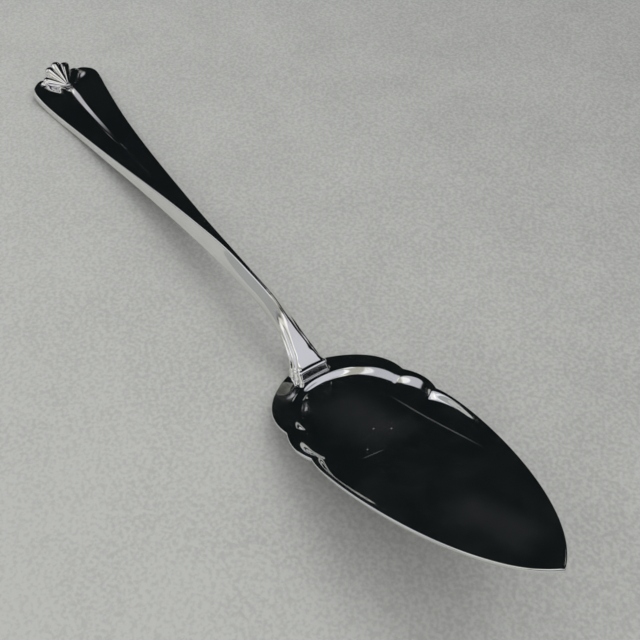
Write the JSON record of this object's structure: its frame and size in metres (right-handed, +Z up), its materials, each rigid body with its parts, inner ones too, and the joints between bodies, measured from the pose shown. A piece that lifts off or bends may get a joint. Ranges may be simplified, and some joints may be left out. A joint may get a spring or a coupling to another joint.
{
  "type": "butter spreader",
  "caption": "Table server with a leaf shaped stepped blade, a scalloped heel, an arched handle with a sunk groove and a shell at its end",
  "frame": {"origin": "middle of the bottom of the bounding box, on the table the server rests on", "axes": "+X runs along the server from the handle end to the blade tip, +Y across the blade, +Z up"},
  "size_m": [0.231, 0.0354, 0.0315],
  "materials": {
    "handle_silver": "polished silver plate, softly worn",
    "blade_silver": "mirror polished silver plate with fine scratches",
    "solder": "bright silver solder"
  },
  "bodies": {
    "root": {"handle": "handle_silver", "blade": "blade_silver", "solder_seam": "solder"}
  },
  "joints": []
}
